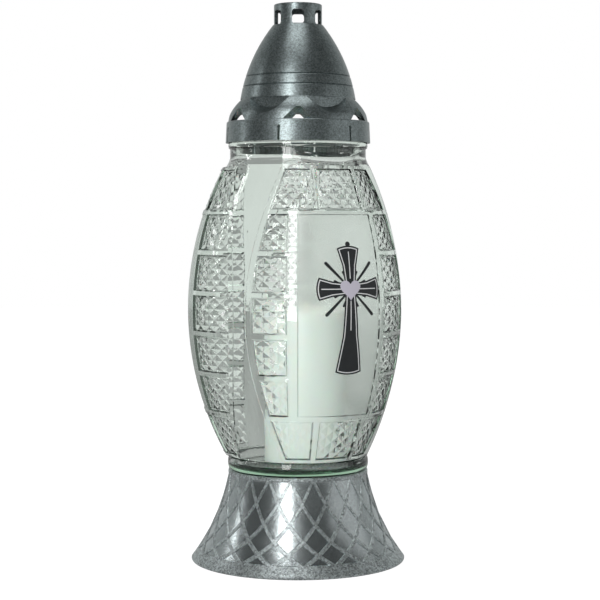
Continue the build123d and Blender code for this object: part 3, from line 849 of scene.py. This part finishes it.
def build_foot(sizes):
    """The flared foot: a lattice module wrapped and repeated, and plain turned bands."""
    rows = [height * MM for height in FOOT_ROWS]
    half = 180 * FLAT / sizes.columns
    bm = bmesh.new()
    last = len(rows) - 1
    for number in range(last + 1):
        side = 0 if number % 2 else half
        middle = rows[number]
        corners = [(side - half, middle), (side + half, middle)]
        if number < last:
            corners.insert(1, (side, rows[number + 1]))
        if number > 0:
            corners.append((side, rows[number - 1]))
        bm.faces.new([bm.verts.new((x, y, 0)) for x, y in corners])
    bmesh.ops.remove_doubles(bm, verts=list(bm.verts), dist=MERGE)
    layer = bm.faces.layers.int.new("sunk")
    kites = list(bm.faces)
    for width, depth in ((sizes.strip / 2, 0), (sizes.groove, -sizes.recess)):
        bmesh.ops.inset_individual(bm, faces=kites, thickness=width, depth=depth, use_even_offset=True)
    for face in kites:
        face[layer] = 1
    for height in between(rows[-1], rows[0], 24)[1:-1]:
        cut_level(bm, height)
    across = -half
    while across < 2 * half:
        cut_upright(bm, across)
        across += TURN_STEP
    for vert in bm.verts:
        turn = sizes.first_column + math.radians(vert.co.x / FLAT)
        radius = flare_radius(sizes, vert.co.y) + vert.co.z
        vert.co = (radius * math.cos(turn), radius * math.sin(turn), vert.co.y)
    plain_corners(bm)
    for face in bm.faces:
        face.material_index = face[layer]
    repeated(bm, sizes.columns)

    bottom, top = FOOT_LOW.z, FOOT_HIGH.z
    platform = top - sizes.seat_depth
    round_edge = sizes.rim_round
    outer = [(flare_radius(sizes, z), z) for z in between(rows[-1], bottom + round_edge, 4)]
    rim = arc((sizes.bottom_radius - round_edge, bottom + round_edge), round_edge, 0, -90, 6)[1:]
    inner_low = sizes.bottom_radius - sizes.wall * 1.3
    under = platform - sizes.platform
    inner = [(inner_low, bottom + 0.3 * MM)]
    inner += [(flare_radius(sizes, z) - sizes.wall * 1.1, z) for z in between(bottom + round_edge, under, 10)]
    below = turned_strip(outer + rim + inner + [(0, under)], sizes)
    collar = sizes.top_radius
    edge = 0.4 * MM
    above = turned_strip([(0, platform), (collar - sizes.wall, platform), (collar - sizes.wall, top - edge),
                          (collar - sizes.wall + edge, top), (collar - edge, top), (collar, top - edge),
                          (collar, rows[0])], sizes)
    for part in (below, above):
        mesh = bpy.data.meshes.new("part")
        part.to_mesh(mesh)
        part.free()
        bm.from_mesh(mesh)
        bpy.data.meshes.remove(mesh)
    bmesh.ops.remove_doubles(bm, verts=list(bm.verts), dist=MERGE)
    bmesh.ops.recalc_face_normals(bm, faces=list(bm.faces))
    materials = [foot_strip_paint(sizes), foot_diamond_paint(sizes)]
    return finished(bm, "flared_foot", materials, "lamp", ("foot_skirt",), FOOT_SMOOTH_ANGLE)


def turned_strip(outline, sizes):
    """A turned skin whose upright edges meet those of the wrapped lattice."""
    bm = bmesh.new()
    start = sizes.first_column
    verts = [bm.verts.new((r * math.cos(start), r * math.sin(start), z)) for r, z in outline]
    edges = [bm.edges.new(pair) for pair in zip(verts, verts[1:])]
    bmesh.ops.spin(bm, geom=verts + edges, cent=(0, 0, 0), axis=(0, 0, 1), angle=2 * math.pi,
                   steps=round(360 * FLAT / TURN_STEP), use_merge=True)
    bmesh.ops.remove_doubles(bm, verts=list(bm.verts), dist=MERGE)
    return bm


# ---------------------------------------------------------------- lid
def build_lid(sizes):
    """Finishes for the lid's own pieces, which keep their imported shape."""
    paint = lid_paint(sizes)
    for node in ("vent_ring", "dome_cap", "chimney_crown"):
        coat(node, paint)
    coat("heat_shield", bright_metal("tinplate", (0.72, 0.72, 0.70), (0.05, 1, 1), 0.28))
    coat("shield_rivets", bright_metal("rivet_alloy", (0.78, 0.78, 0.79), (1, 1, 1), 0.34))


def coat(node, material):
    """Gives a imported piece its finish."""
    mesh = NODES[node].data
    mesh.materials.clear()
    mesh.materials.append(material)


# ---------------------------------------------------------------- candle
def build_candle(sizes):
    """The refill: cup, wax and twisted wick."""
    centre = (CUP_LOW + CUP_HIGH) / 2
    radius = (CUP_HIGH.x - CUP_LOW.x) / 2
    low, high, edge = CUP_LOW.z, CUP_HIGH.z, sizes.foot_round
    lip = sizes.wall / 2
    outline = [(0, low + 0.4 * MM), (radius - 4 * edge, low + 0.4 * MM), (radius - 3 * edge, low)]
    outline += arc((radius - edge, low + edge), edge, -90, 0, 6)
    waist = radius - 0.15 * MM
    outline += [(radius, high - 5 * MM), (waist, high - 4.8 * MM), (waist, high - 3 * MM)]
    outline += arc((radius - lip, high - lip), lip, 0, 180, 8)
    bore, bottom = radius - sizes.wall, low + sizes.floor
    outline += [(bore, bottom + edge), (bore - edge, bottom), (0, bottom)]
    cup = turned(outline)
    bmesh.ops.translate(cup, vec=(centre.x, centre.y, 0), verts=list(cup.verts))
    finished(cup, "refill_cup", [cup_plastic(sizes)], "candle", ("candle_cup",))

    radius = (WAX_HIGH.x - WAX_LOW.x) / 2
    low, high = WAX_LOW.z, WAX_HIGH.z
    outline = [(0, low), (radius - 1 * MM, low), (radius, low + 1 * MM), (radius, high - 0.6 * MM)]
    outline += arc((radius - 0.6 * MM, high - 0.6 * MM), 0.6 * MM, 0, 90, 4)
    outline += [(radius * share, high - sizes.hollow * (1 - share**2))
                for share in (0.9, 0.75, 0.6, 0.45, 0.3, 0.15)]
    body = turned(outline + [(0, high - sizes.hollow)])
    bmesh.ops.translate(body, vec=(centre.x, centre.y, 0), verts=list(body.verts))
    finished(body, "wax_fill", [wax()], "candle", ("candle_wax",))

    wick = bmesh.new()
    reach = (WICK_HIGH.x - WICK_LOW.x) / 4
    tall = WICK_HIGH.z - WICK_LOW.z
    turns = tall / sizes.pitch
    steps = round(turns * 12)
    for number in range(sizes.strands):
        turn = Matrix.Rotation(2 * math.pi * number / sizes.strands, 4, "Z")
        place = turn @ Matrix.Translation((reach * 0.95, 0, 0))
        ring = bmesh.ops.create_circle(wick, cap_ends=True, radius=reach, segments=8, matrix=place)["verts"]
        faces = list({f for v in ring for f in v.link_faces})
        geometry = list(ring) + list({e for v in ring for e in v.link_edges}) + faces
        bmesh.ops.spin(wick, geom=geometry, cent=(0, 0, 0), axis=(0, 0, 1), dvec=(0, 0, tall / steps),
                       angle=2 * math.pi * turns, steps=steps)
    bmesh.ops.recalc_face_normals(wick, faces=list(wick.faces))
    bmesh.ops.translate(wick, vec=(centre.x, centre.y, WICK_LOW.z), verts=list(wick.verts))
    finished(wick, "twisted_wick", [wick_cotton()], "candle", ("candle_wick",), 60)
    coat("wick_sustainer", bright_metal("sustainer_tin", (0.7, 0.7, 0.68), (1, 0.1, 1), 0.3))
    coat("glue_dabs", hot_glue())


# ---------------------------------------------------------------- printed cross
def flared(start, end, near, far, bulge):
    """Outline of one arm from start to end, growing from near to far half-width, with a curved end."""
    start, end = Vector(start), Vector(end)
    along = (end - start).normalized()
    side = Vector((-along.y, along.x))
    span = (end - start).length - bulge
    shoulder = start + along * span
    points = [start - side * near, start + side * near]
    waist = near + (far - near) * 0.32
    points.append(start + along * span * 0.55 + side * waist)
    for share in between(1, -1, 8):
        points.append(shoulder + side * far * share + along * bulge * (1 - share**2))
    points.append(start + along * span * 0.55 - side * waist)
    return points


def bar(angle_deg, near, far, width):
    """Outline of one ray with a round far end."""
    along = Vector((math.cos(math.radians(angle_deg)), math.sin(math.radians(angle_deg))))
    side = Vector((-along.y, along.x))
    tip = far - width / 2
    points = [along * near + side * width * 0.3, along * near - side * width * 0.3]
    for turn in between(-90, 90, 6):
        a = math.radians(turn)
        points.append(along * (tip + math.cos(a) * width / 2) + side * math.sin(a) * width / 2)
    return points


def heart(width):
    """Outline of a plain heart."""
    points = []
    for number in range(36):
        t = 2 * math.pi * number / 36
        across = 16 * math.sin(t) ** 3
        along = 13 * math.cos(t) - 5 * math.cos(2 * t) - 2 * math.cos(3 * t) - math.cos(4 * t)
        points.append(Vector((-across, along)) * width / 32)
    return points


def panel_radius(sizes, height, turn):
    """Radius of the plain panel's skin."""
    return body_radius(sizes, height, turn) + sizes.edge_rise - sizes.panel_recess


def printed(glass, sizes, outlines, name, materials, layer, replaced, edged=False, grow=0.0):
    """Flat shapes laid on the plain panel as a thin closed layer."""
    bm = bmesh.new()
    for points in outlines:
        face = bm.faces.new([bm.verts.new((p.x, p.y, 0)) for p in points])
        face.normal_update()
        if face.normal.z < 0:
            face.normal_flip()
        inset = {"faces": [face], "use_boundary": True, "use_even_offset": True}
        if grow:
            ring = bmesh.ops.inset_region(bm, thickness=grow, use_outset=True, **inset)
            bmesh.ops.dissolve_faces(bm, faces=[face, *ring["faces"]], use_verts=True)
        elif edged:
            bmesh.ops.inset_region(bm, thickness=sizes.outline, **inset)
            line = bmesh.ops.inset_region(bm, thickness=sizes.line, **inset)
            for ring_face in line["faces"]:
                ring_face.material_index = 1
    low, high = -sizes.leg - 2 * MM, sizes.head + 4 * MM
    for height in between(low, high, 24):
        cut_level(bm, height)
    for across in between(-sizes.arm - 2 * MM, sizes.arm + 2 * MM, 26):
        cut_upright(bm, across)
    plain_corners(bm)
    bmesh.ops.solidify(bm, geom=list(bm.faces), thickness=-sizes.film)
    bmesh.ops.recalc_face_normals(bm, faces=list(bm.faces))
    middle = panel_radius(glass, sizes.centre, 0)
    for vert in bm.verts:
        turn, height = vert.co.x / middle, sizes.centre + vert.co.y
        radius = panel_radius(glass, height, turn) + layer * sizes.film + vert.co.z
        vert.co = (radius * math.cos(FIELD_TURN + turn), radius * math.sin(FIELD_TURN + turn), height)
    return finished(bm, name, materials, "lamp", replaced)


def build_print(glass, sizes):
    """The cross with its rays, the heart, and the white film under them."""
    black = print_ink("print_black", (0.012, 0.014, 0.015), (0.03, 0.034, 0.036))
    white = print_ink("print_white", (0.84, 0.85, 0.85), (0.72, 0.74, 0.74))
    lilac = print_ink("print_lilac", sizes.lilac, tuple(c * 0.9 for c in sizes.lilac))
    root = sizes.root
    arms = [
        flared((0, root * 0.4), (0, sizes.head), root, sizes.head_end, sizes.bulge),
        flared((0, -root * 0.4), (0, -sizes.leg), root, sizes.leg_end, sizes.bulge),
        flared((-root * 0.4, 0), (-sizes.arm, 0), root, sizes.arm_end, sizes.bulge),
        flared((root * 0.4, 0), (sizes.arm, 0), root, sizes.arm_end, sizes.bulge),
    ]
    knob = [Vector(p) for p in arc((0, sizes.head + 0.8 * MM), 1.6 * MM, 0, 345, 23)]
    long_rays = [bar(45 + 90 * i, 5 * MM, sizes.ray, sizes.ray_width) for i in range(4)]
    short_rays = [bar(base + side, 5 * MM, 11.5 * MM, sizes.ray_width * 0.7)
                  for base in (45, 135, 225, 315) for side in (-20, 20)]
    middle_lines = [
        flared((0, 6 * MM), (0, sizes.head - 3.4 * MM), sizes.line / 2, sizes.line / 2, 0.1 * MM),
        flared((0, -7 * MM), (0, -sizes.leg * 0.48), sizes.line / 2, sizes.line / 2, 0.1 * MM),
        flared((-6 * MM, 0), (3 * MM - sizes.arm, 0), sizes.line / 2, sizes.line / 2, 0.1 * MM),
        flared((6 * MM, 0), (sizes.arm - 3 * MM, 0), sizes.line / 2, sizes.line / 2, 0.1 * MM),
    ]
    printed(glass, sizes, arms, "print_film", [white], 1, ("decal_film",), grow=sizes.margin)
    printed(glass, sizes, [*long_rays, *short_rays, knob], "print_rays", [black], 2, ())
    printed(glass, sizes, arms, "print_cross", [black, white], 3, ("cross_decal",), edged=True)
    printed(glass, sizes, middle_lines, "print_lines", [white], 4, ())
    printed(glass, sizes, [heart(sizes.heart)], "print_heart", [lilac], 5, ("heart_decal",))


# ---------------------------------------------------------------- stage
# name, degrees to the right of the camera, distance and height, width and length, watts
LIGHTS = (
    ("key", -19, 1.3, 0.62, 0.36, 1.3, 11),
    ("overhead", -10, 0.25, 1.4, 0.7, 0.7, 4),
    ("right_soft", 76, 1.3, 0.4, 1.3, 0.9, 2.2),
    ("left_edge", -96, 1.2, 0.62, 0.07, 0.6, 1.0),
)
FLOOR_GLOW = 0.3           # what the floor gives off by itself
FLOOR_GLOW_SEEN = 0.68     # and what it gains where the camera looks straight at it
# the room's tone, from behind the camera (0) round to behind the lamp (1)
WALL_TONES = ((0.0, 0.26), (0.07, 0.18), (0.22, 0.1), (0.5, 0.14), (0.7, 0.5), (0.9, 0.7))
GLASS_SEES_SOFT = 0.88     # share of the even backdrop, against the room, in what is seen through glass


def area_light(name, place, target, width, height, power):
    """A soft rectangular light that looks at a point."""
    light = bpy.data.lights.new(name, "AREA")
    light.shape = "RECTANGLE"
    light.size, light.size_y, light.energy = width, height, power
    lamp = bpy.data.objects.new(name, light)
    lamp.location = place
    lamp.rotation_euler = (Vector(target) - Vector(place)).to_track_quat("-Z", "Y").to_euler()
    bpy.context.scene.collection.objects.link(lamp)


def around(turn, distance, height):
    """A place at a turn to the right of the camera's direction, seen from above."""
    angle_here = bpy.context.scene.lamp_stage.azimuth + math.radians(turn)
    return (math.sin(angle_here) * distance, -math.cos(angle_here) * distance, height)


def build_stage(sizes):
    """Camera, pale floor, room and lights."""
    scene = bpy.context.scene
    scene.view_settings.view_transform = "Standard"
    camera = bpy.data.cameras.new("camera")
    camera.lens = sizes.lens
    eye = bpy.data.objects.new("camera", camera)
    eye.location = around(0, sizes.distance, sizes.height)
    eye.rotation_euler = (math.pi / 2 - sizes.tilt, 0, sizes.azimuth + sizes.turn)
    scene.collection.objects.link(eye)
    scene.camera = eye

    bm = bmesh.new()
    bmesh.ops.create_circle(bm, cap_ends=True, radius=sizes.floor_radius, segments=64)
    bmesh.ops.translate(bm, vec=(0, 0, FOOT_LOW.z - 0.1 * MM), verts=list(bm.verts))
    mesh = bpy.data.meshes.new("floor")
    bm.to_mesh(mesh)
    bm.free()
    floor = bpy.data.objects.new("floor", mesh)
    scene.collection.objects.link(floor)
    card = Finish("floor_card", Roughness=0.9, Specular_IOR_Level=0.0, Emission_Color=(1, 1, 1, 1))
    tone = card.place("Handling", Patches=3.0, Middle=0.9, Swing=0.1)
    card.feed("Base Color", blended(card.tree, "MIX", tone["Mask"], (0.22, 0.22, 0.22), (0.2, 0.2, 0.2)))
    seen = card.tree.nodes.new("ShaderNodeLightPath").outputs["Is Camera Ray"]
    card.feed("Emission Strength", maths(card.tree, "MULTIPLY_ADD", seen, FLOOR_GLOW_SEEN, FLOOR_GLOW))
    mesh.materials.append(card.material)

    middle = (0, 0, CAD_HIGH.z / 2)
    for name, turn, distance, height, width, tall, power in LIGHTS:
        area_light(name, around(turn, distance, height), middle, width, tall, power)
    build_room(scene, sizes)


def build_room(scene, sizes):
    """A room that is white behind the lamp, and grey with dark sides in reflections and through glass."""
    world = bpy.data.worlds.new("room")
    world.use_nodes = True
    tree = world.node_tree
    tree.nodes.clear()
    output = tree.nodes.new("ShaderNodeOutputWorld")
    path = tree.nodes.new("ShaderNodeLightPath")
    facing = tree.nodes.new("ShaderNodeVectorMath")
    facing.operation = "DOT_PRODUCT"
    facing.inputs[1].default_value = (-math.sin(sizes.azimuth), math.cos(sizes.azimuth), 0)
    direction = tree.nodes.new("ShaderNodeTexCoord").outputs["Generated"]
    tree.links.new(direction, facing.inputs[0])
    height = tree.nodes.new("ShaderNodeSeparateXYZ")
    tree.links.new(direction, height.inputs[0])
    walls = maths(tree, "MULTIPLY_ADD", facing.outputs["Value"], 0.5, 0.5)
    tone = tree.nodes.new("ShaderNodeValToRGB")
    stretch = tone.color_ramp
    while len(stretch.elements) < len(WALL_TONES):
        stretch.elements.new(0.5)
    for element, (place, value) in zip(stretch.elements, WALL_TONES):
        element.position, element.color = place, (value * 0.97, value, value * 0.99, 1)
    tree.links.new(walls, tone.inputs["Fac"])
    lift = maths(tree, "MAXIMUM", height.outputs["Z"], 0.0)
    dim = maths(tree, "SUBTRACT", 1.0, maths(tree, "MULTIPLY", lift, 0.5))
    grey = tree.nodes.new("ShaderNodeBackground")
    tree.links.new(tone.outputs["Color"], grey.inputs["Color"])
    tree.links.new(dim, grey.inputs["Strength"])
    soft = tree.nodes.new("ShaderNodeBackground")
    soft.inputs["Color"].default_value = (0.84, 0.86, 0.845, 1)
    tree.links.new(dim, soft.inputs["Strength"])
    white = tree.nodes.new("ShaderNodeBackground")
    white.inputs["Color"].default_value = (1, 1, 1, 1)
    through = tree.nodes.new("ShaderNodeMixShader")
    share = maths(tree, "MULTIPLY", path.outputs["Is Transmission Ray"], GLASS_SEES_SOFT)
    tree.links.new(share, through.inputs[0])
    tree.links.new(grey.outputs[0], through.inputs[1])
    tree.links.new(soft.outputs[0], through.inputs[2])
    seen = tree.nodes.new("ShaderNodeMixShader")
    tree.links.new(path.outputs["Is Camera Ray"], seen.inputs[0])
    tree.links.new(through.outputs[0], seen.inputs[1])
    tree.links.new(white.outputs[0], seen.inputs[2])
    tree.links.new(seen.outputs[0], output.inputs["Surface"])
    scene.world = world


# ---------------------------------------------------------------- operators and panel
class LAMP_OT_stage(bpy.types.Operator):
    """Make the camera, the pale floor, the room and the lights"""

    bl_idname = "lamp.stage"
    bl_label = "Stage"

    def execute(self, context):
        build_stage(context.scene.lamp_stage)
        return {"FINISHED"}


class LAMP_OT_glass(bpy.types.Operator):
    """Model the pressed-glass body"""

    bl_idname = "lamp.glass"
    bl_label = "Pressed glass"

    def execute(self, context):
        build_glass(context.scene.lamp_glass)
        return {"FINISHED"}


class LAMP_OT_foot(bpy.types.Operator):
    """Model the flared foot and its lattice"""

    bl_idname = "lamp.foot"
    bl_label = "Flared foot"

    def execute(self, context):
        build_foot(context.scene.lamp_foot)
        return {"FINISHED"}


class LAMP_OT_lid(bpy.types.Operator):
    """Finish the lid's pieces"""

    bl_idname = "lamp.lid"
    bl_label = "Lid"

    def execute(self, context):
        build_lid(context.scene.lamp_lid)
        return {"FINISHED"}


class LAMP_OT_candle(bpy.types.Operator):
    """Model the refill candle"""

    bl_idname = "lamp.candle"
    bl_label = "Refill candle"

    def execute(self, context):
        build_candle(context.scene.lamp_candle)
        return {"FINISHED"}


class LAMP_OT_print(bpy.types.Operator):
    """Print the cross on the plain panel"""

    bl_idname = "lamp.print"
    bl_label = "Printed cross"

    def execute(self, context):
        build_print(context.scene.lamp_glass, context.scene.lamp_print)
        return {"FINISHED"}


STEPS = (LAMP_OT_stage, LAMP_OT_glass, LAMP_OT_foot, LAMP_OT_lid, LAMP_OT_candle, LAMP_OT_print)


class LAMP_PT_steps(bpy.types.Panel):
    """The lamp's steps and sizes."""

    bl_label = "Sanctuary lamp"
    bl_space_type = "VIEW_3D"
    bl_region_type = "UI"
    bl_category = "Lamp"

    def draw(self, context):
        layout = self.layout
        for step in STEPS:
            layout.operator(step.bl_idname)
        for attribute, group in GROUPS.items():
            box = layout.box()
            for name in group.__annotations__:
                box.prop(getattr(context.scene, attribute), name)


def register():
    """Adds the classes and hangs the sizes on the scene."""
    for kind in (*GROUPS.values(), *STEPS, LAMP_PT_steps):
        bpy.utils.register_class(kind)
    for attribute, kind in GROUPS.items():
        setattr(bpy.types.Scene, attribute, PointerProperty(type=kind))


def unregister():
    """Takes the sizes and classes away again."""
    for attribute in GROUPS:
        delattr(bpy.types.Scene, attribute)
    for kind in (LAMP_PT_steps, *STEPS, *GROUPS.values()):
        bpy.utils.unregister_class(kind)


def main():
    """Builds everything in order."""
    register()
    for make in (make_flake_group, make_handling_group, make_waves_group):
        make()
    bpy.ops.lamp.stage()
    bpy.ops.lamp.glass()
    bpy.ops.lamp.foot()
    bpy.ops.lamp.lid()
    bpy.ops.lamp.candle()
    bpy.ops.lamp.print()


if __name__ == "__main__":
    main()
